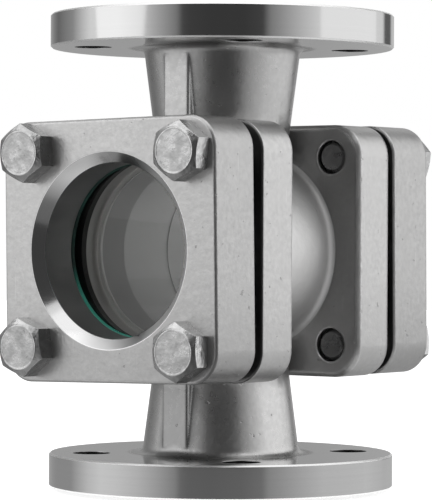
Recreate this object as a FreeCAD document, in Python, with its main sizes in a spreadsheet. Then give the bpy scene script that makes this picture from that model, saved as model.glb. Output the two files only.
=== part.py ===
import FreeCAD, Part
import math
import os
import Sketcher

# Flow sight glass DN 50: a cast body with two pipe flanges and two round windows, each window a
# glass disc between two gaskets under a square cover with four bolts.
# The origin is the centre of the drum. Z is the flow axis and Y is the axis through both windows.
# The front window faces -Y. Lengths are in millimetres.
SIZES = {
    # Pipe flanges
    "face_to_face": 230.0,
    "pipe_flange_diameter": 165.0,
    "pipe_flange_thickness": 18.0,
    "raised_face_diameter": 102.0,
    "raised_face_height": 2.0,
    "pipe_bolt_circle": 125.0,
    "pipe_bolt_hole": 18.0,
    "pipe_bolt_count": 4,
    "pipe_flange_chamfer": 0.8,
    # Necks
    "pipe_bore": 50.0,
    "neck_root_diameter": 66.0,
    "neck_top_diameter": 75.4,
    "neck_top_fillet": 4.0,
    "rib_width": 15.0,
    "rib_span": 74.0,
    "rib_edge_radius": 1.2,
    # Drum between the window flanges
    "drum_diameter": 92.0,
    "drum_foot_fillet": 4.0,
    "chamber_diameter": 83.0,
    "chamber_length": 35.0,
    "port_diameter": 82.0,
    "seat_bore_depth": 8.2,
    # Window flanges and covers share one square outline
    "plate_width": 123.0,
    "plate_height": 121.0,
    "plate_corner_radius": 15.0,
    "window_flange_spacing": 54.0,
    "window_flange_thickness": 25.0,
    "window_flange_chamfer": 2.0,
    "cover_thickness": 30.0,
    "cover_chamfer": 1.0,
    "cover_recess_depth": 6.4,
    "window_diameter": 81.0,
    "window_chamfer": 4.8,
    # Glass and gaskets
    "glass_diameter": 100.0,
    "glass_thickness": 15.0,
    "glass_chamfer": 0.5,
    "glass_clearance": 0.5,
    "inner_gasket_width": 7.0,
    "inner_gasket_thickness": 3.6,
    "outer_gasket_width": 9.8,
    "outer_gasket_thickness": 2.0,
    "seat_depth": 8.2,
    # Hexagon bolts
    "bolt_square_width": 90.0,
    "bolt_diameter": 16.0,
    "bolt_length": 60.0,
    "bolt_end_chamfer": 2.0,
    "thread_clearance": 0.1,
    "head_flats": 24.0,
    "head_height": 10.0,
    "head_top_diameter": 20.8,
    "head_chamfer_angle": 30.0,
    "cover_hole_diameter": 18.5,
    # Share of the bolt clearance that each cover has turned about the window axis
    "front_turn_share": 0.9,
    "rear_turn_share": 0.5,
}

# Places along the window axis, measured from the centre of the drum
FLANGE_INNER = "(sizes.window_flange_spacing / 2)"
FLANGE_OUTER = f"({FLANGE_INNER} + sizes.window_flange_thickness)"
SEAT_FACE = f"({FLANGE_OUTER} - sizes.seat_depth)"
GLASS_INNER = f"({SEAT_FACE} + sizes.inner_gasket_thickness)"
GLASS_OUTER = f"({GLASS_INNER} + sizes.glass_thickness)"
RECESS_FLOOR = f"({GLASS_OUTER} + sizes.outer_gasket_thickness)"
COVER_INNER = f"({RECESS_FLOOR} - sizes.cover_recess_depth)"
COVER_OUTER = f"({COVER_INNER} + sizes.cover_thickness)"
PORT_START = f"({SEAT_FACE} - sizes.seat_bore_depth)"
CHAMBER_END = "(sizes.chamber_length / 2)"

# Places along the flow axis
PIPE_FACE = "(sizes.face_to_face / 2)"
PIPE_RIM = f"({PIPE_FACE} - sizes.raised_face_height)"
PIPE_FLANGE_BACK = f"({PIPE_FACE} - sizes.pipe_flange_thickness)"
PLATE_TOP = "(sizes.plate_height / 2)"

# Radii, bores and offsets that more than one feature uses
DRUM_RADIUS = "(sizes.drum_diameter / 2)"
PIPE_FLANGE_RADIUS = "(sizes.pipe_flange_diameter / 2)"
NECK_ROOT = "(sizes.neck_root_diameter / 2)"
NECK_TOP = "(sizes.neck_top_diameter / 2)"
RECESS_RADIUS = "(sizes.glass_diameter / 2 + sizes.glass_clearance)"
INNER_GASKET_BORE = "(sizes.glass_diameter - 2 * sizes.inner_gasket_width)"
OUTER_GASKET_BORE = "(sizes.glass_diameter - 2 * sizes.outer_gasket_width)"
BOLT_OFFSET = "(sizes.bolt_square_width / 2)"

NEAR = 0.01

doc = FreeCAD.newDocument("flow_sight_glass")
sheet = doc.addObject("Spreadsheet::Sheet", "sizes")


def fill_sheet():
    for row, (name, value) in enumerate(SIZES.items(), start=1):
        sheet.set(f"A{row}", name)
        sheet.set(f"B{row}", str(value))
        sheet.setAlias(f"B{row}", name)
    doc.recompute()


# Sketches

def new_body(label):
    body = doc.addObject("PartDesign::Body", label)
    body.Label = label
    return body


def origin_feature(body, role):
    return next(item for item in body.Origin.OriginFeatures if item.Role == role)


def new_sketch(body, name, plane, offset=None):
    """Sketch on one of the body's origin planes, moved along the plane's normal by an expression."""
    sketch = body.newObject("Sketcher::SketchObject", name)
    sketch.AttachmentSupport = [(origin_feature(body, plane), "")]
    sketch.MapMode = "FlatFace"
    if offset:
        sketch.setExpression(".AttachmentOffset.Base.z", offset)
    return sketch


def number(expression):
    """Value of a length expression."""
    return float(sheet.evalExpression(expression))


def bind(sketch, kind, references, expression):
    """Constraint whose value follows the expression."""
    index = sketch.addConstraint(Sketcher.Constraint(kind, *references, number(expression)))
    sketch.setExpression(f"Constraints[{index}]", expression)


def place_point(sketch, geometry, vertex, across, up):
    """Hold one point at signed distances from the sketch's origin."""
    bind(sketch, "DistanceX", (-1, 1, geometry, vertex), across)
    bind(sketch, "DistanceY", (-1, 1, geometry, vertex), up)


def draw_circle(sketch, diameter, across="0", up="0"):
    circle = sketch.addGeometry(Part.Circle(FreeCAD.Vector(), FreeCAD.Vector(0, 0, 1), 1.0), False)
    place_point(sketch, circle, 3, across, up)
    bind(sketch, "Diameter", (circle,), diameter)


def draw_outline(sketch, points):
    """Closed outline of straight lines through points given as pairs of expressions."""
    count = len(points)
    ring = [
        FreeCAD.Vector(math.cos(2 * math.pi * i / count), math.sin(2 * math.pi * i / count), 0)
        for i in range(count)
    ]
    for i in range(count):
        sketch.addGeometry(Part.LineSegment(ring[i], ring[(i + 1) % count]), False)
    for i, (across, up) in enumerate(points):
        sketch.addConstraint(Sketcher.Constraint("Coincident", i - 1 if i else count - 1, 2, i, 1))
        place_point(sketch, i, 1, across, up)


def draw_rounded_rectangle(sketch, width, height, radius):
    """Rectangle about the sketch's origin with four round corners; sizes are sheet names."""
    half_width = SIZES[width] / 2
    half_height = SIZES[height] / 2
    corner = SIZES[radius]
    across = half_width - corner
    up = half_height - corner
    centres = [(across, up), (-across, up), (-across, -up), (across, -up)]
    arcs = []
    for quarter, (x, y) in enumerate(centres):
        circle = Part.Circle(FreeCAD.Vector(x, y, 0), FreeCAD.Vector(0, 0, 1), corner)
        start = quarter * math.pi / 2
        arcs.append(sketch.addGeometry(Part.ArcOfCircle(circle, start, start + math.pi / 2), False))
    sides = []
    for quarter, arc in enumerate(arcs):
        following = arcs[(quarter + 1) % 4]
        ends = [sketch.getPoint(arc, 2), sketch.getPoint(following, 1)]
        side = sketch.addGeometry(Part.LineSegment(*ends), False)
        sketch.addConstraint(Sketcher.Constraint("Tangent", arc, 2, side, 1))
        sketch.addConstraint(Sketcher.Constraint("Tangent", side, 2, following, 1))
        sides.append(side)
    for quarter, side in enumerate(sides):
        sketch.addConstraint(Sketcher.Constraint("Vertical" if quarter % 2 else "Horizontal", side))
    for arc in arcs[1:]:
        sketch.addConstraint(Sketcher.Constraint("Equal", arcs[0], arc))
    bind(sketch, "Radius", (arcs[0],), f"sizes.{radius}")
    for arc, sign in ((arcs[0], ""), (arcs[2], "-")):
        place_point(
            sketch,
            arc,
            3,
            f"{sign}(sizes.{width} / 2 - sizes.{radius})",
            f"{sign}(sizes.{height} / 2 - sizes.{radius})",
        )


def draw_hexagon(sketch, flats):
    """Regular hexagon about the origin with two corners on the vertical axis."""
    corner = SIZES[flats] / math.sqrt(3)
    points = [
        FreeCAD.Vector(corner * math.sin(i * math.pi / 3), corner * math.cos(i * math.pi / 3), 0)
        for i in range(6)
    ]
    for i in range(6):
        sketch.addGeometry(Part.LineSegment(points[i], points[(i + 1) % 6]), False)
    rim = sketch.addGeometry(Part.Circle(FreeCAD.Vector(), FreeCAD.Vector(0, 0, 1), corner), True)
    for i in range(6):
        sketch.addConstraint(Sketcher.Constraint("Coincident", (i - 1) % 6, 2, i, 1))
        sketch.addConstraint(Sketcher.Constraint("PointOnObject", i, 1, rim))
    for i in range(1, 6):
        sketch.addConstraint(Sketcher.Constraint("Equal", 0, i))
    sketch.addConstraint(Sketcher.Constraint("Coincident", rim, 3, -1, 1))
    sketch.addConstraint(Sketcher.Constraint("PointOnObject", 0, 1, -2))
    bind(sketch, "Radius", (rim,), f"sizes.{flats} / sqrt(3)")


# Features

def add_pad(body, name, sketch, length, symmetric=False, reverse=False):
    pad = body.newObject("PartDesign::Pad", name)
    pad.Profile = sketch
    pad.SideType = "Symmetric" if symmetric else "One side"
    pad.Reversed = reverse
    pad.setExpression("Length", length)
    return pad


def add_pocket(body, name, sketch, length=None, reverse=False):
    """Pocket of a given depth, or through everything on both sides of the sketch."""
    pocket = body.newObject("PartDesign::Pocket", name)
    pocket.Profile = sketch
    if length:
        pocket.Reversed = reverse
        pocket.setExpression("Length", length)
    else:
        pocket.Type = "ThroughAll"
        pocket.SideType = "Symmetric"
    return pocket


def add_turned(body, kind, name, sketch, axis):
    """Revolution or Groove of a whole turn about an axis of the sketch."""
    feature = body.newObject(f"PartDesign::{kind}", name)
    feature.Profile = sketch
    feature.ReferenceAxis = (sketch, [axis])
    feature.Angle = 360
    return feature


def add_mirror(body, name, feature, plane):
    mirror = body.newObject("PartDesign::Mirrored", name)
    mirror.Originals = [feature]
    mirror.MirrorPlane = (origin_feature(body, plane), [""])
    body.Tip = mirror
    return mirror


def dress_edges(body, kind, name, wanted, size):
    """Fillet or Chamfer on the edges of the body so far that the test wanted picks."""
    doc.recompute()
    base = body.Tip
    edges = [f"Edge{i}" for i, edge in enumerate(base.Shape.Edges, start=1) if wanted(edge)]
    feature = body.newObject(f"PartDesign::{kind}", name)
    feature.Base = (base, edges)
    feature.setExpression("Radius" if kind == "Fillet" else "Size", size)
    return feature


def lies_at(edge, axis, places):
    """True if the whole edge lies in one of the planes at these distances along the axis."""
    values = [getattr(point, axis) for point in edge.discretize(5)]
    return any(all(abs(value - place) < NEAR for value in values) for place in places)


def is_ring(edge, radius):
    return isinstance(edge.Curve, Part.Circle) and abs(edge.Curve.Radius - radius) < NEAR


# Body

def build_drum(body):
    """Round chamber wall between the window flanges, and the two square flanges."""
    sketch = new_sketch(body, "drum_sketch", "XZ_Plane")
    draw_circle(sketch, "sizes.drum_diameter")
    add_pad(body, "drum", sketch, f"2 * {FLANGE_OUTER}", symmetric=True)

    sketch = new_sketch(body, "window_flange_sketch", "XZ_Plane", FLANGE_INNER)
    draw_rounded_rectangle(sketch, "plate_width", "plate_height", "plate_corner_radius")
    flange = add_pad(body, "front_window_flange", sketch, "sizes.window_flange_thickness")
    add_mirror(body, "rear_window_flange", flange, "XZ_Plane")

    inner = number(FLANGE_INNER)
    radius = number(DRUM_RADIUS)

    def outline(edge):
        return lies_at(edge, "y", (-inner, inner)) and not is_ring(edge, radius)

    def drum_foot(edge):
        return lies_at(edge, "y", (-inner, inner)) and is_ring(edge, radius)

    dress_edges(body, "Chamfer", "window_flange_chamfer", outline, "sizes.window_flange_chamfer")
    dress_edges(body, "Fillet", "drum_foot_fillet", drum_foot, "sizes.drum_foot_fillet")


def build_necks(body):
    """Tapered necks with their pipe flanges, turned about the flow axis, and the cast ribs."""
    taper = f"(({NECK_TOP} - {NECK_ROOT}) / ({PIPE_FLANGE_BACK} - {PLATE_TOP}))"
    waist = f"{NECK_ROOT} - {taper} * {PLATE_TOP}"
    half = [
        ("0", PIPE_FACE),
        ("sizes.raised_face_diameter / 2", PIPE_FACE),
        ("sizes.raised_face_diameter / 2", PIPE_RIM),
        (PIPE_FLANGE_RADIUS, PIPE_RIM),
        (PIPE_FLANGE_RADIUS, PIPE_FLANGE_BACK),
        (NECK_TOP, PIPE_FLANGE_BACK),
    ]
    lower = [(across, f"-{up}") for across, up in reversed(half)]
    sketch = new_sketch(body, "neck_sketch", "XZ_Plane")
    draw_outline(sketch, half + [(waist, "0")] + lower)
    add_turned(body, "Revolution", "necks_and_pipe_flanges", sketch, "V_Axis")

    back = number(PIPE_FLANGE_BACK)
    rim = number(PIPE_RIM)
    top_radius = number(NECK_TOP)
    flange_radius = number(PIPE_FLANGE_RADIUS)

    def neck_top(edge):
        return is_ring(edge, top_radius) and lies_at(edge, "z", (-back, back))

    def flange_rim(edge):
        return is_ring(edge, flange_radius) and lies_at(edge, "z", (-rim, -back, back, rim))

    dress_edges(body, "Fillet", "neck_top_fillet", neck_top, "sizes.neck_top_fillet")
    dress_edges(body, "Chamfer", "pipe_flange_chamfer", flange_rim, "sizes.pipe_flange_chamfer")

    sketch = new_sketch(body, "rib_sketch", "XY_Plane")
    draw_rounded_rectangle(sketch, "rib_width", "rib_span", "rib_edge_radius")
    add_pad(body, "ribs", sketch, f"2 * ({PIPE_FLANGE_BACK} - sizes.neck_top_fillet)", symmetric=True)


def build_flow_path(body):
    """Window seats, ports and chamber turned about the window axis, and the straight pipe bore."""
    seat_bore = f"{INNER_GASKET_BORE} / 2"
    port = "sizes.port_diameter / 2"
    front = [
        (f"-{FLANGE_OUTER}", "0"),
        (f"-{FLANGE_OUTER}", RECESS_RADIUS),
        (f"-{SEAT_FACE}", RECESS_RADIUS),
        (f"-{SEAT_FACE}", seat_bore),
        (f"-{PORT_START}", seat_bore),
        (f"-{PORT_START}", port),
        (f"-{CHAMBER_END}", port),
        (f"-{CHAMBER_END}", "sizes.chamber_diameter / 2"),
    ]
    rear = [(across[1:], up) for across, up in reversed(front)]
    sketch = new_sketch(body, "seat_sketch", "YZ_Plane")
    draw_outline(sketch, front + rear)
    add_turned(body, "Groove", "window_seats", sketch, "H_Axis")

    sketch = new_sketch(body, "pipe_bore_sketch", "XY_Plane")
    draw_circle(sketch, "sizes.pipe_bore")
    add_pocket(body, "pipe_bore", sketch)


def build_body_holes(body):
    """Clear holes in the pipe flanges and tapped holes in the window flanges."""
    reach = "sizes.pipe_bolt_circle / 2 * cos(180 / sizes.pipe_bolt_count)"
    for end, sign, outwards in (("top", "", True), ("bottom", "-", False)):
        sketch = new_sketch(body, f"{end}_hole_sketch", "XY_Plane", f"{sign}{PIPE_FLANGE_BACK}")
        draw_circle(sketch, "sizes.pipe_bolt_hole", reach, reach.replace("cos", "sin"))
        hole = add_pocket(body, f"{end}_hole", sketch, "sizes.pipe_flange_thickness", outwards)
        pattern = body.newObject("PartDesign::PolarPattern", f"{end}_holes")
        pattern.Originals = [hole]
        pattern.Axis = (origin_feature(body, "Z_Axis"), [""])
        pattern.Angle = 360
        pattern.setExpression("Occurrences", "sizes.pipe_bolt_count")
        body.Tip = pattern

    sketch = new_sketch(body, "tapped_hole_sketch", "XZ_Plane")
    for across in ("", "-"):
        for up in ("", "-"):
            diameter = "sizes.bolt_diameter + 2 * sizes.thread_clearance"
            draw_circle(sketch, diameter, across + BOLT_OFFSET, up + BOLT_OFFSET)
    add_pocket(body, "tapped_holes", sketch)


def build_body():
    body = new_body("body")
    build_drum(body)
    build_necks(body)
    build_flow_path(body)
    build_body_holes(body)
    return body


# Covers, glass and gaskets; side is "-" at the front window and "" at the rear one

def along(side, place):
    """Offset of an XZ sketch, whose normal points to -Y, for a place on one side."""
    return place if side == "-" else f"-{place}"


def build_cover(label, side, turn_share):
    cover = new_body(label)
    sketch = new_sketch(cover, "plate_sketch", "XZ_Plane", along(side, COVER_INNER))
    draw_rounded_rectangle(sketch, "plate_width", "plate_height", "plate_corner_radius")
    add_pad(cover, "plate", sketch, "sizes.cover_thickness", reverse=side == "")

    faces = [number(f"{side}{place}") for place in (COVER_INNER, COVER_OUTER)]

    def outline(edge):
        return lies_at(edge, "y", faces)

    dress_edges(cover, "Chamfer", "edge_chamfer", outline, "sizes.cover_chamfer")

    window = "sizes.window_diameter / 2"
    sketch = new_sketch(cover, "window_sketch", "YZ_Plane")
    profile = [
        (COVER_INNER, "0"),
        (COVER_INNER, RECESS_RADIUS),
        (RECESS_FLOOR, RECESS_RADIUS),
        (RECESS_FLOOR, window),
        (f"({COVER_OUTER} - sizes.window_chamfer)", window),
        (COVER_OUTER, f"{window} + sizes.window_chamfer"),
        (COVER_OUTER, "0"),
    ]
    draw_outline(sketch, [(side + across, up) for across, up in profile])
    add_turned(cover, "Groove", "window", sketch, "H_Axis")

    sketch = new_sketch(cover, "hole_sketch", "XZ_Plane")
    for across in ("", "-"):
        for up in ("", "-"):
            draw_circle(sketch, "sizes.cover_hole_diameter", across + BOLT_OFFSET, up + BOLT_OFFSET)
    add_pocket(cover, "bolt_holes", sketch)

    # The holes leave each cover free to turn a little before its bolts are tight.
    slack = "(sizes.cover_hole_diameter - sizes.bolt_diameter) / 2"
    cover.Placement = FreeCAD.Placement(FreeCAD.Vector(), FreeCAD.Rotation(FreeCAD.Vector(0, -1, 0), 1))
    cover.setExpression(
        ".Placement.Rotation.Angle", f"atan(sizes.{turn_share} * {slack} / ({BOLT_OFFSET} * sqrt(2)))"
    )


def build_disc(label, side, place, thickness, bore=None):
    """Flat disc or ring of the glass diameter whose inner face is at the given place."""
    disc = new_body(label)
    sketch = new_sketch(disc, "disc_sketch", "XZ_Plane", along(side, place))
    draw_circle(sketch, "sizes.glass_diameter")
    if bore:
        draw_circle(sketch, bore)
    add_pad(disc, "disc", sketch, thickness, reverse=side == "")
    return disc


def build_window(name, side):
    """Glass disc between its two gaskets."""
    thickness = "sizes.inner_gasket_thickness"
    build_disc(f"{name}_inner_gasket", side, SEAT_FACE, thickness, INNER_GASKET_BORE)
    glass = build_disc(f"{name}_glass", side, GLASS_INNER, "sizes.glass_thickness")

    def glass_rim(edge):
        return is_ring(edge, SIZES["glass_diameter"] / 2)

    dress_edges(glass, "Chamfer", "edge_chamfer", glass_rim, "sizes.glass_chamfer")
    thickness = "sizes.outer_gasket_thickness"
    build_disc(f"{name}_outer_gasket", side, GLASS_OUTER, thickness, OUTER_GASKET_BORE)


# Bolts: the shank runs down from z = 0 and the head stands on z = 0 before the bolt is placed

def build_bolt(label, side, across, up, wrench_angle):
    bolt = new_body(label)
    sketch = new_sketch(bolt, "shank_sketch", "XY_Plane")
    draw_circle(sketch, "sizes.bolt_diameter")
    add_pad(bolt, "shank", sketch, "sizes.bolt_length", reverse=True)

    def shank_end(edge):
        return lies_at(edge, "z", [-SIZES["bolt_length"]])

    dress_edges(bolt, "Chamfer", "end_chamfer", shank_end, "sizes.bolt_end_chamfer")

    sketch = new_sketch(bolt, "head_sketch", "XY_Plane")
    sketch.AttachmentOffset = FreeCAD.Placement(
        FreeCAD.Vector(), FreeCAD.Rotation(FreeCAD.Vector(0, 0, 1), wrench_angle)
    )
    draw_hexagon(sketch, "head_flats")
    add_pad(bolt, "head", sketch, "sizes.head_height")

    corner = "sizes.head_flats / sqrt(3)"
    top = "sizes.head_top_diameter / 2"
    drop = f"({corner} - {top}) * tan(sizes.head_chamfer_angle)"
    sketch = new_sketch(bolt, "head_chamfer_sketch", "XZ_Plane")
    profile = [
        (top, "sizes.head_height"),
        (corner, f"sizes.head_height - {drop}"),
        (corner, "sizes.head_height"),
    ]
    draw_outline(sketch, profile)
    add_turned(bolt, "Groove", "head_chamfer", sketch, "V_Axis")

    turn = 90 if side == "-" else -90
    bolt.Placement = FreeCAD.Placement(FreeCAD.Vector(), FreeCAD.Rotation(FreeCAD.Vector(1, 0, 0), turn))
    bolt.setExpression(".Placement.Base.x", across + BOLT_OFFSET)
    bolt.setExpression(".Placement.Base.y", side + COVER_OUTER)
    bolt.setExpression(".Placement.Base.z", up + BOLT_OFFSET)


def check_document():
    for item in doc.Objects:
        if "Invalid" in item.State or "Error" in item.State:
            raise RuntimeError(f"{item.Name} did not compute: {item.State}")


def write_parts():
    os.makedirs("parts", exist_ok=True)
    for body in doc.findObjects("PartDesign::Body"):
        shape = body.Shape
        if shape.isNull() or not shape.isValid() or len(shape.Solids) != 1:
            raise RuntimeError(f"{body.Label} is not one valid solid")
        shape.exportStep(os.path.join("parts", f"{body.Label}.step"))
        print(f"{body.Label}: {shape.Volume:.0f} mm3")


fill_sheet()
build_body()
for window, window_side, share in (("front", "-", "front_turn_share"), ("rear", "", "rear_turn_share")):
    build_cover(f"{window}_cover", window_side, share)
    build_window(window, window_side)

# Each head stopped at its own angle when its bolt was tightened.
WRENCH_ANGLES = {
    ("front", "upper", "left"): 4,
    ("front", "upper", "right"): -6,
    ("front", "lower", "left"): 9,
    ("front", "lower", "right"): 2,
    ("rear", "upper", "left"): -11,
    ("rear", "upper", "right"): 14,
    ("rear", "lower", "left"): 7,
    ("rear", "lower", "right"): -3,
}
for (window, level, hand), angle in WRENCH_ANGLES.items():
    build_bolt(
        f"{window}_bolt_{level}_{hand}",
        "-" if window == "front" else "",
        "-" if hand == "left" else "",
        "-" if level == "lower" else "",
        angle,
    )

doc.recompute()
check_document()
write_parts()
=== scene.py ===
"""Looks of the flow sight glass: finishes of the castings, glass, gaskets and bolts, and a studio."""
import math

import bpy
from mathutils import Matrix, Vector


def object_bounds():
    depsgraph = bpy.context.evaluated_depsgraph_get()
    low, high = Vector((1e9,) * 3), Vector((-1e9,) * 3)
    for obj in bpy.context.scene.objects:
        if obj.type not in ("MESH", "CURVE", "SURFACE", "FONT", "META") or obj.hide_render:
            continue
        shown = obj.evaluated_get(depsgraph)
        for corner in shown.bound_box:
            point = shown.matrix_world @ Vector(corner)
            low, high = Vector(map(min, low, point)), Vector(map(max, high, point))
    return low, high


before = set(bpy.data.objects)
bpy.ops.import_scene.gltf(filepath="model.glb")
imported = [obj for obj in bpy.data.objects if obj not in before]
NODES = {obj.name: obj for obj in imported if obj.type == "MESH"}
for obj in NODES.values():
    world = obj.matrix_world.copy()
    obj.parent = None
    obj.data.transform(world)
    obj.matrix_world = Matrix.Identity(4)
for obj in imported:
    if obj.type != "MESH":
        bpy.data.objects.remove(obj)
CAD_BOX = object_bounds()

WINDOWS = ("front", "rear")
MM = 0.001


# Node helpers

# Sockets of a Mix node by number, because its kinds of data share their names
MIX_NUMBER_A = 2
MIX_NUMBER_B = 3
MIX_NUMBER_RESULT = 0
MIX_COLOUR_A = 6
MIX_COLOUR_B = 7
MIX_COLOUR_RESULT = 2

EDGE_SAMPLES = 8


class Shader:
    """A material's node tree with short calls for the nodes that the finishes share."""

    def __init__(self, name):
        self.material = bpy.data.materials.new(name)
        self.material.use_nodes = True
        self.tree = self.material.node_tree
        self.principled = self.tree.nodes["Principled BSDF"]
        geometry = self.tree.nodes.new("ShaderNodeNewGeometry")
        self.place = geometry.outputs["Position"]
        self.facing = geometry.outputs["True Normal"]
        self.x, self.y, self.z = self.split(self.place)
        self.facing_x, self.facing_y, self.facing_z = self.split(self.facing)

    def add(self, kind, inputs=None, **settings):
        """New node with these settings. Each input is a value or another node's output."""
        node = self.tree.nodes.new(kind)
        for key, value in settings.items():
            setattr(node, key, value)
        for key, value in (inputs or {}).items():
            self.feed(node.inputs[key], value)
        return node

    def feed(self, socket, value):
        if isinstance(value, bpy.types.NodeSocket):
            self.tree.links.new(value, socket)
        else:
            socket.default_value = value

    def set(self, **inputs):
        """Principled inputs by name, with _ for a space."""
        for key, value in inputs.items():
            self.feed(self.principled.inputs[key.replace("_", " ")], value)

    def split(self, vector):
        node = self.add("ShaderNodeSeparateXYZ", {"Vector": vector})
        return node.outputs["X"], node.outputs["Y"], node.outputs["Z"]

    def join(self, x=0.0, y=0.0, z=0.0):
        return self.add("ShaderNodeCombineXYZ", {"X": x, "Y": y, "Z": z}).outputs["Vector"]

    def math(self, operation, a, b=0.0, clamp=False):
        return self.add("ShaderNodeMath", {0: a, 1: b}, operation=operation, use_clamp=clamp).outputs[0]

    def plus(self, a, b, clamp=False):
        return self.math("ADD", a, b, clamp)

    def minus(self, a, b):
        return self.math("SUBTRACT", a, b)

    def times(self, a, b):
        return self.math("MULTIPLY", a, b)

    def larger(self, a, b):
        return self.math("MAXIMUM", a, b)

    def absolute(self, a):
        return self.math("ABSOLUTE", a)

    def above(self, a, limit):
        """1 where a is greater than the limit."""
        return self.math("GREATER_THAN", a, limit)

    def below(self, a, limit):
        """1 where a is less than the limit."""
        return self.math("LESS_THAN", a, limit)

    def within(self, a, low, high):
        """1 where a lies between the limits."""
        return self.times(self.above(a, low), self.below(a, high))

    def distance(self, a, b):
        """Distance from the axis that a and b are measured from."""
        return self.math("SQRT", self.plus(self.times(a, a), self.times(b, b)))

    def off_flow_axis(self):
        return self.distance(self.x, self.y)

    def off_window_axis(self):
        return self.distance(self.x, self.z)

    def noise(self, scale, detail=4.0, roughness=0.6, vector=None):
        inputs = {"Scale": scale, "Detail": detail, "Roughness": roughness, "Vector": vector or self.place}
        return self.add("ShaderNodeTexNoise", inputs).outputs["Fac"]

    def stretched(self, x, y, z):
        """Position scaled by these factors, for a noise that is drawn out along an axis."""
        node = self.add("ShaderNodeVectorMath", {0: self.place, 1: (x, y, z)}, operation="MULTIPLY")
        return node.outputs["Vector"]

    def ramp(self, value, low, high, start=0.0, end=1.0):
        """The value mapped smoothly from low..high to start..end."""
        inputs = {"Value": value, "From Min": low, "From Max": high, "To Min": start, "To Max": end}
        node = self.add("ShaderNodeMapRange", inputs, interpolation_type="SMOOTHSTEP")
        return node.outputs["Result"]

    def blend(self, factor, a, b):
        """Colour a where the factor is 0 and b where it is 1."""
        inputs = {"Factor": factor, MIX_COLOUR_A: a, MIX_COLOUR_B: b}
        return self.add("ShaderNodeMix", inputs, data_type="RGBA").outputs[MIX_COLOUR_RESULT]

    def between(self, factor, a, b):
        """Number a where the factor is 0 and b where it is 1."""
        inputs = {"Factor": factor, MIX_NUMBER_A: a, MIX_NUMBER_B: b}
        return self.add("ShaderNodeMix", inputs, data_type="FLOAT").outputs[MIX_NUMBER_RESULT]

    def bump(self, height, distance, strength, base=None):
        """Normal with this relief, on top of the base normal where one is given."""
        inputs = {"Height": height, "Distance": distance, "Strength": strength}
        if base:
            inputs["Normal"] = base
        return self.add("ShaderNodeBump", inputs).outputs["Normal"]

    def rounded_edges(self, radius):
        return self.add("ShaderNodeBevel", {"Radius": radius}, samples=EDGE_SAMPLES).outputs["Normal"]


def grey(value, warmth=0.0):
    return (value * (1 + warmth), value, value * (1 - warmth), 1.0)


# Places on the castings, in metres from the centre of the drum

# Inside the drum, where the casting is smoother and duller than outside and carries painted shade, up to
# each glass's seat
CHAMBER_RADIUS = 0.0436
CHAMBER_REACH = 0.0475
SEAT_REACH = 0.0355

# The drum's outside between the window flanges, which is as cast and rougher than the rest, and carries
# painted light
DRUM_INNER_RADIUS = 0.044
DRUM_RADIUS = 0.052
DRUM_REACH = 0.0265

# The faces of the window flanges that look at the drum, which carry painted shade
INNER_FACE_REACH = 0.0275

# The narrow gap between a window flange and its cover, where shade is painted
GAP_INNER = 0.0515
GAP_OUTER = 0.0585

# Heights between which the finish of the drum passes into that of a neck
NECK_START = 0.060
NECK_END = 0.066

# A face is square to an axis where its normal has more than this of it
SQUARE = 0.9

# Cosine of a rounded edge's turn, where its wear starts and where it is full
EDGE_STARTS = 0.99
EDGE_FULL = 0.9


def chamber_mask(s):
    return s.times(s.below(s.off_window_axis(), CHAMBER_RADIUS), s.below(s.absolute(s.y), CHAMBER_REACH))


def drum_mask(s):
    skin = s.within(s.off_window_axis(), DRUM_INNER_RADIUS, DRUM_RADIUS)
    return s.times(skin, s.below(s.absolute(s.y), DRUM_REACH))


def neck_mask(s):
    return s.ramp(s.absolute(s.z), NECK_START, NECK_END)


def square_to_windows(s):
    return s.above(s.absolute(s.facing_y), SQUARE)


def inner_face_mask(s):
    """1 on the flat faces of the window flanges that look at the drum."""
    return s.times(s.below(s.absolute(s.y), INNER_FACE_REACH), square_to_windows(s))


def gap_shade_mask(s):
    """1 on the two flat faces that the gap lies between, but not on the edges around them."""
    return s.times(s.within(s.absolute(s.y), GAP_INNER, GAP_OUTER), square_to_windows(s))


def edge_mask(s, rounded):
    """1 along the edges that the rounded normal turns round."""
    turn = s.add("ShaderNodeVectorMath", {0: rounded, 1: s.facing}, operation="DOT_PRODUCT")
    return s.ramp(turn.outputs["Value"], EDGE_STARTS, EDGE_FULL)


# Finish of the castings

# Its patterns: scale, detail and roughness of each noise, from coarse to fine
BLOTCHES = (34.0, 3.0, 0.6)
SWELLS = (150.0, 3.0, 0.55)
WEAR = (260.0, 3.0, 0.6)
PITTING = (330.0, 2.0, 0.5)
MOTTLES = (420.0, 3.0, 0.6)
GRAINS = (1500.0, 2.0, 0.6)
STREAKS = (1.0, 2.0, 0.5)
STREAK_SCALE = (900.0, 900.0, 60.0)

# Tones of marks and of painted shade, as shares of the casting's own tone, with a ceiling for worn edges
DARK_BLOTCH = 0.93
LIGHT_BLOTCH = 1.02
DARK_MOTTLE = 0.92
SCUFF = 1.25
PIT = 0.4
PAINTED_SHADE_SHARE = 0.55
WORN_EDGE = 1.55
WORN_LIMIT = 0.88

# How much of a mark, or of a place's tone or painted light or shade, covers what is under it
SCUFF_COVER = 0.35
PIT_COVER = 0.5
WORN_COVER = 0.75
DRUM_LIGHT_COVER = 0.9
CHAMBER_SHADE_COVER = 0.9
GAP_SHADE_COVER = 0.8

# Tones of places that differ from the rest of the casting, and the warmth of their grey: painted light on
# the drum, painted shade on the inner faces, in the gap and in the chamber, lighter on the seat bores, and
# a painted highlight at the step
DRUM_LIGHT_TONE = 0.84
INNER_FACE_SHADE_TONE = 0.16
GAP_SHADE_TONE = 0.09
CHAMBER_SHADE_TONE = 0.17
SEAT_SHADE_TONE = 0.50
STEP_HIGHLIGHT_TONE = 0.62
WARMTH = 0.004
BLOTCH_WARMTH = 0.006
CHAMBER_WARMTH = 0.012
SEAT_WARMTH = 0.02

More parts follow.
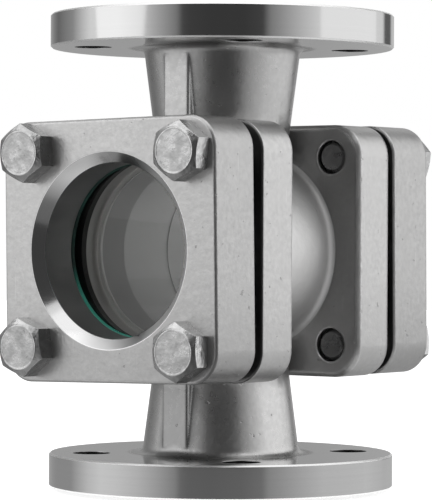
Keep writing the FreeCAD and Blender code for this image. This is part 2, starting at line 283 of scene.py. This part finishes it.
# Half the width of the painted highlight along the step, where it starts to show and where it is full
STEP_HIGHLIGHT_START = 2.2 * MM
STEP_HIGHLIGHT_FULL = 0.8 * MM

# Turned surfaces: the dark side of a tool mark, painted light on dulled metal and painted shade on walls
# in shade
DARK_LINE = 0.92
DULL_LIGHT_TONE = 0.95
SHADED_TONE = 0.28
DULL_LIGHT_START = 0.06
DULL_LIGHT_FULL = 0.3
CUT_EDGE_RADIUS = 0.3 * MM

# Roughness: of blotches, what mottles add, what a neck lacks, of worn edges, drum and turned surfaces
BLOTCH_ROUGHNESS = (0.34, 0.41)
MOTTLE_ROUGHNESS = (-0.04, 0.05)
NECK_POLISH = 0.08
WORN_POLISH = 0.7
WORN_ROUGHNESS = 0.26
DRUM_ROUGHNESS = 0.55
CUT_ROUGHNESS = (0.06, 0.12)

# Relief: depth and strength of each pattern, and how much weaker it is on the necks
SWELL_RELIEF = (0.7 * MM, 0.4)
MOTTLE_RELIEF = (0.18 * MM, 0.35)
GRAIN_RELIEF = (0.05 * MM, 0.4)
PIT_RELIEF = (0.3 * MM, 0.5)
LINE_RELIEF = (0.02 * MM, 0.15)
NECK_SMOOTHING = 0.6


def chamber_shade_colour(s):
    """Painted shade: dark in the chamber and lighter on the bore before each glass, with a painted
    highlight along the step between them.
    """
    reach = s.absolute(s.y)
    dark = grey(CHAMBER_SHADE_TONE, CHAMBER_WARMTH)
    colour = s.blend(s.above(reach, SEAT_REACH), dark, grey(SEAT_SHADE_TONE, SEAT_WARMTH))
    step_highlight = s.ramp(s.absolute(s.minus(reach, SEAT_REACH)), STEP_HIGHLIGHT_START, STEP_HIGHLIGHT_FULL)
    return s.blend(step_highlight, colour, grey(STEP_HIGHLIGHT_TONE, CHAMBER_WARMTH))


def carve(s, pattern, place, relief, base):
    """Adds a pattern's relief to the base normal where the place mask is 1."""
    depth, strength = relief
    return s.bump(pattern, depth, s.times(place, strength), base)


def steel(name, cast_tone, cut_tone, cut_mask, shade_mask, dull_and_light_mask, painted_shade_mask, grooves, edge_radius):
    """Stainless casting: bead-blasted where it is as cast, and turned where the cut mask is 1.

    The masks and the grooves are functions of the shader. On turned surfaces, the shade mask is the
    share of shade on them, and the dull and light mask is the roughness that is added to them, which
    also paints them lighter as painted light. The painted shade mask darkens the cast surface.
    """
    s = Shader(name)
    cut = cut_mask(s)
    shade = shade_mask(s)
    dull_and_light = dull_and_light_mask(s)
    lines = grooves(s)
    chamber = chamber_mask(s)
    drum = drum_mask(s)
    neck = neck_mask(s)
    plain = s.minus(1.0, s.larger(cut, chamber))
    radius = s.between(cut, edge_radius, CUT_EDGE_RADIUS)
    rounded = s.rounded_edges(s.times(radius, s.minus(1.0, chamber)))
    worn = s.times(s.times(edge_mask(s, rounded), s.ramp(s.noise(*WEAR), 0.3, 0.6)), plain)

    # Patterns of the cast surface
    blotch = s.noise(*BLOTCHES)
    swell = s.noise(*SWELLS)
    mottle = s.noise(*MOTTLES)
    grain = s.noise(*GRAINS)
    pits = s.times(s.ramp(s.noise(*PITTING), 0.70, 0.76), plain)
    streaks = s.noise(*STREAKS, s.stretched(*STREAK_SCALE))
    scuffs = s.times(s.ramp(streaks, 0.66, 0.74), plain)

    # Colour as cast
    dark = grey(cast_tone * DARK_BLOTCH, BLOTCH_WARMTH)
    light = grey(cast_tone * LIGHT_BLOTCH, WARMTH)
    colour = s.blend(s.ramp(blotch, 0.3, 0.7), dark, light)
    colour = s.blend(s.ramp(mottle, 0.3, 0.7), colour, grey(cast_tone * DARK_MOTTLE, WARMTH))
    colour = s.blend(s.times(scuffs, SCUFF_COVER), colour, grey(cast_tone * SCUFF))
    colour = s.blend(s.times(pits, PIT_COVER), colour, grey(cast_tone * PIT))
    colour = s.blend(s.times(worn, WORN_COVER), colour, grey(min(cast_tone * WORN_EDGE, WORN_LIMIT)))
    # Painted light: the drum's outside is painted lighter than the rest of the casting
    colour = s.blend(s.times(drum, DRUM_LIGHT_COVER), colour, grey(DRUM_LIGHT_TONE, WARMTH))
    # Painted shade on the faces that look at the drum, stronger towards their top
    inner_face_shade = s.ramp(s.z, -0.05, -0.01, 0.1, 0.6)
    colour = s.blend(s.times(inner_face_mask(s), inner_face_shade), colour, grey(INNER_FACE_SHADE_TONE, WARMTH))
    # Painted shade: darker low on flanges and covers, on the upper neck, the ribs and the covers' right
    colour = s.blend(painted_shade_mask(s), colour, grey(cast_tone * PAINTED_SHADE_SHARE))
    # Painted shade in the chamber and on the seat bores, with a painted highlight at the step
    colour = s.blend(s.times(chamber, CHAMBER_SHADE_COVER), colour, chamber_shade_colour(s))
    # Painted shade in the gap between a window flange and its cover
    colour = s.blend(s.times(gap_shade_mask(s), GAP_SHADE_COVER), colour, grey(GAP_SHADE_TONE))

    # Colour where it is turned
    cut_colour = s.blend(lines, grey(cut_tone * DARK_LINE), grey(cut_tone))
    # Painted light: where turned metal is dulled, its colour is also made lighter
    cut_colour = s.blend(s.ramp(dull_and_light, DULL_LIGHT_START, DULL_LIGHT_FULL), cut_colour, grey(DULL_LIGHT_TONE))
    cut_colour = s.blend(shade, cut_colour, grey(SHADED_TONE))

    # Roughness
    roughness = s.ramp(blotch, 0.2, 0.8, *BLOTCH_ROUGHNESS)
    roughness = s.plus(roughness, s.ramp(mottle, 0.2, 0.8, *MOTTLE_ROUGHNESS))
    roughness = s.minus(roughness, s.times(neck, NECK_POLISH))
    roughness = s.between(s.times(worn, WORN_POLISH), roughness, WORN_ROUGHNESS)
    roughness = s.between(s.larger(chamber, drum), roughness, DRUM_ROUGHNESS)
    cut_roughness = s.plus(s.ramp(lines, 0.0, 1.0, *CUT_ROUGHNESS), dull_and_light)

    # Relief
    as_cast = s.times(plain, s.minus(1.0, s.times(neck, NECK_SMOOTHING)))
    open_cut = s.times(cut, s.minus(1.0, shade))
    normal = carve(s, swell, as_cast, SWELL_RELIEF, rounded)
    normal = carve(s, mottle, as_cast, MOTTLE_RELIEF, normal)
    normal = carve(s, grain, as_cast, GRAIN_RELIEF, normal)
    normal = carve(s, s.minus(1.0, pits), plain, PIT_RELIEF, normal)
    normal = carve(s, lines, open_cut, LINE_RELIEF, normal)

    s.set(
        Base_Color=s.blend(cut, colour, cut_colour),
        Roughness=s.between(cut, roughness, cut_roughness),
        Normal=normal,
        Metallic=1.0,
    )
    return s.material


# Heights on the window flanges and covers between which painted shade sets in, towards the foot
SHADE_START = -0.005
SHADE_FULL = -0.06

# Noise of the marks that turning leaves: scale, detail and roughness
GROOVES = (2600.0, 2.0, 0.6)

# Turned surfaces of the body: the rims and faces of its pipe flanges
RIM_BACK = 0.0962
RIM_FRONT = 0.1125
NECK_RADIUS = 0.0425
NECK_BLEND = 4 * MM

# Half the width of a rib, where its painted shade starts and where it is full
RIB_START = 0.0115
RIB_FULL = 0.0085

# Painted shade low on the window flanges and on the upper neck
LOW_SHADE = 0.31
NECK_SHADE = 0.31

# Edges broken at 45 degrees, told from the rims by how far their normals rise
BROKEN_EDGE_RISE = 0.3
BROKEN_EDGE_DULLNESS_AND_LIGHT = 0.3


def pipe_flange_mask(s):
    height = s.absolute(s.z)
    around_neck = s.ramp(s.off_flow_axis(), NECK_RADIUS, NECK_RADIUS + NECK_BLEND)
    outside = s.larger(around_neck, s.above(height, RIM_FRONT))
    return s.times(s.above(height, RIM_BACK), outside)


def nowhere(s):
    return 0.0


def body_painted_shade(s):
    """Painted shade: the casting is darker low on the window flanges, on the upper neck and on the ribs.
    """
    neck = neck_mask(s)
    low = s.times(s.ramp(s.z, SHADE_START, SHADE_FULL, 0.0, LOW_SHADE), s.minus(1.0, neck))
    rib = s.times(s.ramp(s.absolute(s.x), RIB_START, RIB_FULL), s.ramp(s.z, -0.05, 0.05, 0.8, 0.5))
    upper_neck = s.ramp(s.z, NECK_START, NECK_END, 0.0, NECK_SHADE)
    return s.larger(s.larger(low, upper_neck), s.times(neck, rib))


def pipe_flange_dullness_and_light(s):
    """The edges that are broken at 45 degrees are duller than the faces beside them, and painted lighter.
    """
    broken = s.within(s.absolute(s.facing_z), BROKEN_EDGE_RISE, SQUARE)
    return s.times(broken, BROKEN_EDGE_DULLNESS_AND_LIGHT)


def pipe_flange_grooves(s):
    """Marks that run round the flow axis, so they vary along it and across the flange faces."""
    return s.noise(*GROOVES, vector=s.join(x=s.off_flow_axis(), z=s.z))


# Turned surfaces of a cover: the bore and chamfer of its window
WINDOW_RIM_RADIUS = 0.0455
WINDOW_BORE_RADIUS = 0.0407
WINDOW_BORE_DULLNESS_AND_LIGHT = 0.25

# What painted shade adds at a cover's right edge and at its foot
RIGHT_SHADE = 0.12
FOOT_SHADE = 0.36


def window_mask(s):
    return s.below(s.off_window_axis(), WINDOW_RIM_RADIUS)


def window_bore(s):
    return s.below(s.off_window_axis(), WINDOW_BORE_RADIUS)


def window_shade(s):
    """1 in the bore, and part of it on the chamfer over the window."""
    return s.larger(window_bore(s), s.ramp(s.z, 0.032, 0.041, 0.0, 0.5))


def window_dullness_and_light(s):
    """The chamfer is duller and painted lighter on its right half and at its foot, and so is the bore."""
    right = s.ramp(s.x, 0.006, 0.026, 0.05, 0.34)
    foot = s.ramp(s.z, -0.034, -0.041, 0.0, 0.24)
    return s.larger(s.larger(right, foot), s.times(window_bore(s), WINDOW_BORE_DULLNESS_AND_LIGHT))


def cover_painted_shade(s):
    """Painted shade: a cover is darker towards its right and its lower edge."""
    foot = s.ramp(s.z, SHADE_START, SHADE_FULL, 0.0, FOOT_SHADE)
    return s.plus(s.ramp(s.x, 0.0, 0.04, 0.0, RIGHT_SHADE), foot)


def window_grooves(s):
    """Marks that run round the windows' axis, so they vary along it and across the chamfer."""
    return s.noise(*GROOVES, vector=s.join(x=s.off_window_axis(), y=s.y))


# Bolts: where an axis is, the ring that the chamfer leaves round the top of a head, and the end of a shank
BOLT_OFFSET = 0.045
HEAD_RING_RADIUS = 0.0101
SHANK_END_REACH = 0.031
BOLT_EDGE_RADIUS = 0.45 * MM

# Tones of bolt steel: the underside and shank-end tones are painted shade, the upper-side and right-flat
# tones painted light
BOLT_DARK = 0.37
BOLT_LIGHT = 0.49
BOLT_DENT = 0.16
BOLT_UNDERSIDE_SHADE = 0.14
BOLT_UPPER_SIDE_LIGHT = 0.70
BOLT_RIGHT_FLAT_LIGHT = 0.80
BOLT_WEAR_AND_HIGHLIGHT = 0.75
BOLT_SHANK_END_SHADE = 0.20


def bolt_steel():
    """Plain forged bolt steel: mottled, dented on the head and worn bright along its edges.
    It has painted shade on faces that look down and on the shank ends, painted light on faces that
    look up and on the flats that face right, and wear with a painted highlight on the head's ring.
    """
    s = Shader("steel_bolt")
    across = s.minus(s.absolute(s.x), BOLT_OFFSET)
    up = s.minus(s.absolute(s.z), BOLT_OFFSET)
    off_ring = s.absolute(s.minus(s.distance(across, up), HEAD_RING_RADIUS))
    ring = s.ramp(off_ring, 0.7 * MM, 0.2 * MM)
    # Painted shade on the ends of the shanks, which lie deep in their holes
    shank_end_shade = s.below(s.absolute(s.y), SHANK_END_REACH)
    # Painted light on the head flats that face right, on the bolts at positive x
    lit_right_flat = s.times(s.ramp(s.facing_x, 0.85, 0.95), s.above(s.x, 0.0))
    rounded = s.rounded_edges(BOLT_EDGE_RADIUS)
    worn_edge = s.times(edge_mask(s, rounded), s.ramp(s.noise(400.0, 2.0), 0.35, 0.6))
    # Wear and a painted highlight on the ring that the chamfer leaves round the top of a head
    ring_wear_and_highlight = s.times(ring, s.ramp(s.noise(300.0), 0.4, 0.6, 0.1, 0.5))
    mottle = s.noise(170.0, 3.0, 0.55)
    dents = s.noise(330.0, 3.0, 0.55)
    grain = s.noise(1800.0, 2.0)

    colour = s.blend(s.ramp(mottle, 0.35, 0.65), grey(BOLT_DARK), grey(BOLT_LIGHT))
    colour = s.blend(s.times(s.ramp(dents, 0.64, 0.70), 0.45), colour, grey(BOLT_DENT))
    # Painted shade on faces that look down, painted light on faces that look up
    colour = s.blend(s.ramp(s.facing_z, -0.1, -0.6, 0.0, 0.7), colour, grey(BOLT_UNDERSIDE_SHADE))
    colour = s.blend(s.ramp(s.facing_z, 0.1, 0.6, 0.0, 0.6), colour, grey(BOLT_UPPER_SIDE_LIGHT))
    # Painted light on the right-facing flats
    colour = s.blend(s.times(lit_right_flat, 0.6), colour, grey(BOLT_RIGHT_FLAT_LIGHT))
    # Worn edges, and wear with a painted highlight on the head's ring
    colour = s.blend(s.larger(s.times(worn_edge, 0.8), ring_wear_and_highlight), colour, grey(BOLT_WEAR_AND_HIGHLIGHT))
    # Painted shade on the shank ends
    colour = s.blend(shank_end_shade, colour, grey(BOLT_SHANK_END_SHADE))

    normal = s.bump(dents, 0.6 * MM, 0.7, rounded)
    normal = s.bump(ring, 0.3 * MM, 0.5, normal)
    normal = s.bump(grain, 0.06 * MM, 0.4, normal)
    s.set(Base_Color=colour, Roughness=s.ramp(mottle, 0.3, 0.7, 0.36, 0.24), Normal=normal, Metallic=1.0)
    return s.material


# Glass and gaskets
GLASS_COLOUR = (0.93, 0.94, 0.93, 1.0)
GLASS_IOR = 1.5
GLASS_HAZE = 0.015

FIBRE_DARK = (0.03, 0.27, 0.20, 1.0)
FIBRE_LIGHT = (0.10, 0.52, 0.40, 1.0)
FIBRE_SHADED = (0.006, 0.016, 0.013, 1.0)
FIBRE_ROUGHNESS = 0.7

GRAPHITE_DARK = (0.004, 0.004, 0.004, 1.0)
GRAPHITE_LIGHT = (0.014, 0.014, 0.014, 1.0)
# Painted light on the rear gasket's bore
GASKET_BORE_RADIUS = 0.0435
GASKET_BORE_LIGHT_COLOUR = (0.50, 0.50, 0.49, 1.0)


def clear_glass():
    s = Shader("glass_clear")
    haze = s.ramp(s.noise(45.0, 3.0), 0.35, 0.8, 0.0, GLASS_HAZE)
    s.set(Base_Color=GLASS_COLOUR, Transmission_Weight=1.0, IOR=GLASS_IOR, Roughness=haze)
    return s.material


def fibre_gasket():
    """Green fibre sheet, with painted shade over its upper half."""
    s = Shader("fibre_gasket_green")
    fibres = s.noise(1200.0, 3.0, 0.8)
    colour = s.blend(fibres, FIBRE_DARK, FIBRE_LIGHT)
    # Painted shade over the upper half, with an uneven edge
    uneven = s.ramp(s.noise(60.0, 2.0), 0.3, 0.7, -0.10, 0.1)
    upper_half_shade = s.plus(s.ramp(s.z, -0.028, -0.006), uneven, clamp=True)
    colour = s.blend(s.times(upper_half_shade, 0.96), colour, FIBRE_SHADED)
    s.set(Base_Color=colour, Roughness=FIBRE_ROUGHNESS, Normal=s.bump(fibres, 0.1 * MM, 0.5))
    return s.material


def graphite_gasket():
    """Black graphite sheet. The rear one's bore, which is seen across the chamber, carries painted light:
    a grey that hides the shade there.
    """
    s = Shader("graphite_gasket_black")
    flakes = s.noise(1500.0, 3.0, 0.7)
    colour = s.blend(flakes, GRAPHITE_DARK, GRAPHITE_LIGHT)
    # Painted light on the rear gasket's bore
    rear_bore_light = s.times(s.above(s.y, 0.0), s.below(s.off_window_axis(), GASKET_BORE_RADIUS))
    colour = s.blend(rear_bore_light, colour, GASKET_BORE_LIGHT_COLOUR)
    roughness = s.ramp(flakes, 0.2, 0.8, 0.45, 0.7)
    s.set(Base_Color=colour, Roughness=roughness, Normal=s.bump(flakes, 0.1 * MM, 0.4))
    return s.material


# Which piece wears which finish

def use_material(node, material):
    node.data.materials.clear()
    node.data.materials.append(material)


def dress_nodes():
    body = steel(
        "steel_body",
        cast_tone=0.60,
        cut_tone=0.62,
        cut_mask=pipe_flange_mask,
        shade_mask=nowhere,
        dull_and_light_mask=pipe_flange_dullness_and_light,
        painted_shade_mask=body_painted_shade,
        grooves=pipe_flange_grooves,
        edge_radius=2.2 * MM,
    )
    cover = steel(
        "steel_cover",
        cast_tone=0.54,
        cut_tone=0.68,
        cut_mask=window_mask,
        shade_mask=window_shade,
        dull_and_light_mask=window_dullness_and_light,
        painted_shade_mask=cover_painted_shade,
        grooves=window_grooves,
        edge_radius=1.2 * MM,
    )
    bolt = bolt_steel()
    finishes = {
        "cover": cover,
        "glass": clear_glass(),
        "outer_gasket": fibre_gasket(),
        "inner_gasket": graphite_gasket(),
    }
    use_material(NODES["body"], body)
    for window in WINDOWS:
        for piece, material in finishes.items():
            use_material(NODES[f"{window}_{piece}"], material)
    for name, node in NODES.items():
        if "_bolt_" in name:
            use_material(node, bolt)


# Studio

# The camera is a little above the drum's centre and well back from the object. Its focal length and
# the image's centre are in pixels of the frame.
CAMERA_AZIMUTH = 36.2
CAMERA_DISTANCE = 1.379
CAMERA_HEIGHT = 0.0065
CAMERA_ROLL = math.radians(0.25)
FOCAL_PIXELS = 2864.0
FRAME_HEIGHT = 500.0
FRAME_WIDTH = 432.0
CENTRE_X = 221.5
CENTRE_Y = 237.0
SENSOR = 36.0

# Rays that show the white surroundings: the camera's own, and what metal reflects and glass lets through
BACKGROUND_KINDS = ("Is Camera Ray", "Is Glossy Ray", "Is Transmission Ray")
SURROUND_LIGHT = 0.8

FLOOR_SIZE = 3.0
FLOOR_TONE = 0.8
FLOOR_ROUGHNESS = 0.9
FLOOR_GLOW = 0.6

# Each lamp's azimuth in degrees, distance, height, width, length and power in watts
SOFTBOXES = {
    "left_softbox": (-35, 1.3, 0.6, 1.6, 1.4, 3.0),
    "right_softbox": (130, 1.3, 0.35, 1.4, 1.0, 0.9),
    "top_softbox": (36, 0.3, 1.3, 1.2, 1.2, 1.5),
}


def around(azimuth, distance, height):
    """Point at an azimuth in degrees, where 0 is in front of the front window."""
    angle = math.radians(azimuth)
    return Vector((math.sin(angle) * distance, -math.cos(angle) * distance, height))


def add_camera():
    data = bpy.data.cameras.new("camera")
    data.sensor_width = SENSOR
    data.lens = SENSOR * FOCAL_PIXELS / FRAME_HEIGHT
    data.shift_x = (FRAME_WIDTH / 2 - CENTRE_X) / FRAME_HEIGHT
    data.shift_y = (CENTRE_Y - FRAME_HEIGHT / 2) / FRAME_HEIGHT
    camera = bpy.data.objects.new("camera", data)
    bpy.context.collection.objects.link(camera)
    back = around(CAMERA_AZIMUTH, 1.0, 0.0)
    camera.rotation_mode = "QUATERNION"
    roll = Matrix.Rotation(CAMERA_ROLL, 4, "Z").to_quaternion()
    camera.rotation_quaternion = (-back).to_track_quat("-Z", "Y") @ roll
    camera.location = back * CAMERA_DISTANCE + Vector((0, 0, CAMERA_HEIGHT))
    bpy.context.scene.camera = camera


def add_softbox(name, azimuth, distance, height, width, length, power):
    data = bpy.data.lights.new(name, "AREA")
    data.shape = "RECTANGLE"
    data.size = width
    data.size_y = length
    data.energy = power
    lamp = bpy.data.objects.new(name, data)
    bpy.context.collection.objects.link(lamp)
    lamp.location = around(azimuth, distance, height)
    lamp.rotation_mode = "QUATERNION"
    lamp.rotation_quaternion = (-lamp.location).to_track_quat("-Z", "Y")


def background_ray(tree):
    """1 where the ray is one of those that show the white surroundings."""
    path = tree.nodes.new("ShaderNodeLightPath")
    total = path.outputs[BACKGROUND_KINDS[0]]
    for kind in BACKGROUND_KINDS[1:]:
        node = tree.nodes.new("ShaderNodeMath")
        node.operation = "MAXIMUM"
        tree.links.new(total, node.inputs[0])
        tree.links.new(path.outputs[kind], node.inputs[1])
        total = node.outputs[0]
    return total


def set_world():
    """White for the rays that show the surroundings, and a little less for the light on the object."""
    world = bpy.data.worlds.new("studio")
    bpy.context.scene.world = world
    world.use_nodes = True
    tree = world.node_tree
    mix = tree.nodes.new("ShaderNodeMix")
    mix.data_type = "RGBA"
    tree.links.new(background_ray(tree), mix.inputs["Factor"])
    mix.inputs[MIX_COLOUR_A].default_value = grey(SURROUND_LIGHT)
    mix.inputs[MIX_COLOUR_B].default_value = grey(1.0)
    tree.links.new(mix.outputs[MIX_COLOUR_RESULT], tree.nodes["Background"].inputs["Color"])


def add_mesh(name, points, faces, material):
    """Piece of the studio, which isn't part of the object."""
    mesh = bpy.data.meshes.new(name)
    mesh.from_pydata(points, [], faces)
    piece = bpy.data.objects.new(name, mesh)
    bpy.context.collection.objects.link(piece)
    piece.data.materials.append(material)
    return piece


def add_floor():
    """White floor: its own glow makes up what the lamps leave short of white, so shadows still show."""
    level = CAD_BOX[0][2]
    s = Shader("floor_white")
    s.set(Base_Color=grey(FLOOR_TONE), Roughness=FLOOR_ROUGHNESS, Emission_Color=grey(1.0))
    s.set(Emission_Strength=s.times(background_ray(s.tree), FLOOR_GLOW))
    signs = ((-1, -1), (1, -1), (1, 1), (-1, 1))
    corners = [(x * FLOOR_SIZE, y * FLOOR_SIZE, level) for x, y in signs]
    add_mesh("floor", corners, [(0, 1, 2, 3)], s.material)


# What metal reflects of the studio: at each azimuth, the tone of a curved backdrop that goes round it
# and of the mat that lies on the floor near the object. Farther out the mat has the darker of the two.
TONES = (
    (-144, 0.36, 0.41),
    (-132, 0.40, 0.40),
    (-106, 0.18, 0.36),
    (-82, 0.37, 0.39),
    (-62, 1.00, 0.76),
    (-50, 1.00, 0.90),
    (-37, 1.00, 0.85),
    (-20, 0.85, 0.70),
    (-6, 0.52, 0.51),
    (3, 0.34, 0.38),
    (6, 0.28, 0.34),
    (10, 0.09, 0.21),
    (15, 0.07, 0.18),
    (30, 0.06, 0.17),
    (50, 0.06, 0.19),
    (63, 0.08, 0.24),
    (68, 0.30, 0.37),
    (75, 0.42, 0.43),
    (91, 0.72, 0.58),
    (107, 1.00, 0.71),
    (150, 1.00, 0.77),
    (171, 0.90, 0.66),
    (176, 0.14, 0.62),
    (188, 0.14, 0.58),
    (193, 0.62, 0.55),
    (202, 0.60, 0.50),
    (216, 0.36, 0.45),
)
MAT_INNER = 0.0835
MAT_NEAR_WIDTH = 0.25
MAT_WIDTH = 1.5
MAT_LIFT = MM
BACKDROP_TOP = 1.6

# The surround has three strips, each with two points at every azimuth
STRIPS = (0, 2, 4)
POINTS_EACH = 6


def tones_at(azimuth):
    """Tones of the backdrop and the mat, by straight lines between the table's entries."""
    for low, high in zip(TONES, TONES[1:]):
        if azimuth <= high[0]:
            share = (azimuth - low[0]) / (high[0] - low[0])
            return [a + (b - a) * share for a, b in zip(low[1:], high[1:])]
    return TONES[-1][1:]


def mat_edge(azimuth, width, height):
    """Where a rim's reflection of this azimuth leaves the mat, or meets the rim at width 0."""
    near = around((azimuth + CAMERA_AZIMUTH) / 2, MAT_INNER, height)
    return near + around(azimuth, width, 0.0)


def add_surround():
    """One mesh of mat and backdrop that only metal sees, with its tones in a colour attribute."""
    level = CAD_BOX[0][2] + MAT_LIFT
    points = []
    tones = []
    for azimuth in range(TONES[0][0], TONES[-1][0] + 1):
        backdrop, mat = tones_at(azimuth)
        far_mat = min(mat, backdrop)
        points += [mat_edge(azimuth, 0.0, level), mat_edge(azimuth, MAT_NEAR_WIDTH, level)]
        points += [mat_edge(azimuth, MAT_NEAR_WIDTH, level), mat_edge(azimuth, MAT_WIDTH, level)]
        points += [mat_edge(azimuth, MAT_WIDTH, level), mat_edge(azimuth, MAT_WIDTH, BACKDROP_TOP)]
        tones += [mat, mat, far_mat, far_mat, backdrop, backdrop]
    faces = []
    for first in range(0, len(points), POINTS_EACH):
        after = (first + POINTS_EACH) % len(points)
        faces += [(first + i, first + i + 1, after + i + 1, after + i) for i in STRIPS]
    s = Shader("surround")
    s.set(Base_Color=grey(0.0), Specular_IOR_Level=0.0, Emission_Strength=1.0)
    s.set(Emission_Color=s.add("ShaderNodeVertexColor", layer_name="tone").outputs["Color"])
    surround = add_mesh("surround", points, faces, s.material)
    attribute = surround.data.color_attributes.new("tone", "FLOAT_COLOR", "POINT")
    for value, tone in zip(attribute.data, tones):
        value.color = grey(tone)
    surround.visible_camera = False
    surround.visible_diffuse = False
    surround.visible_shadow = False
    surround.visible_transmission = False


def build_studio():
    add_camera()
    set_world()
    add_floor()
    add_surround()
    for name, settings in SOFTBOXES.items():
        add_softbox(name, *settings)
    bpy.context.scene.view_settings.view_transform = "Standard"


dress_nodes()
build_studio()
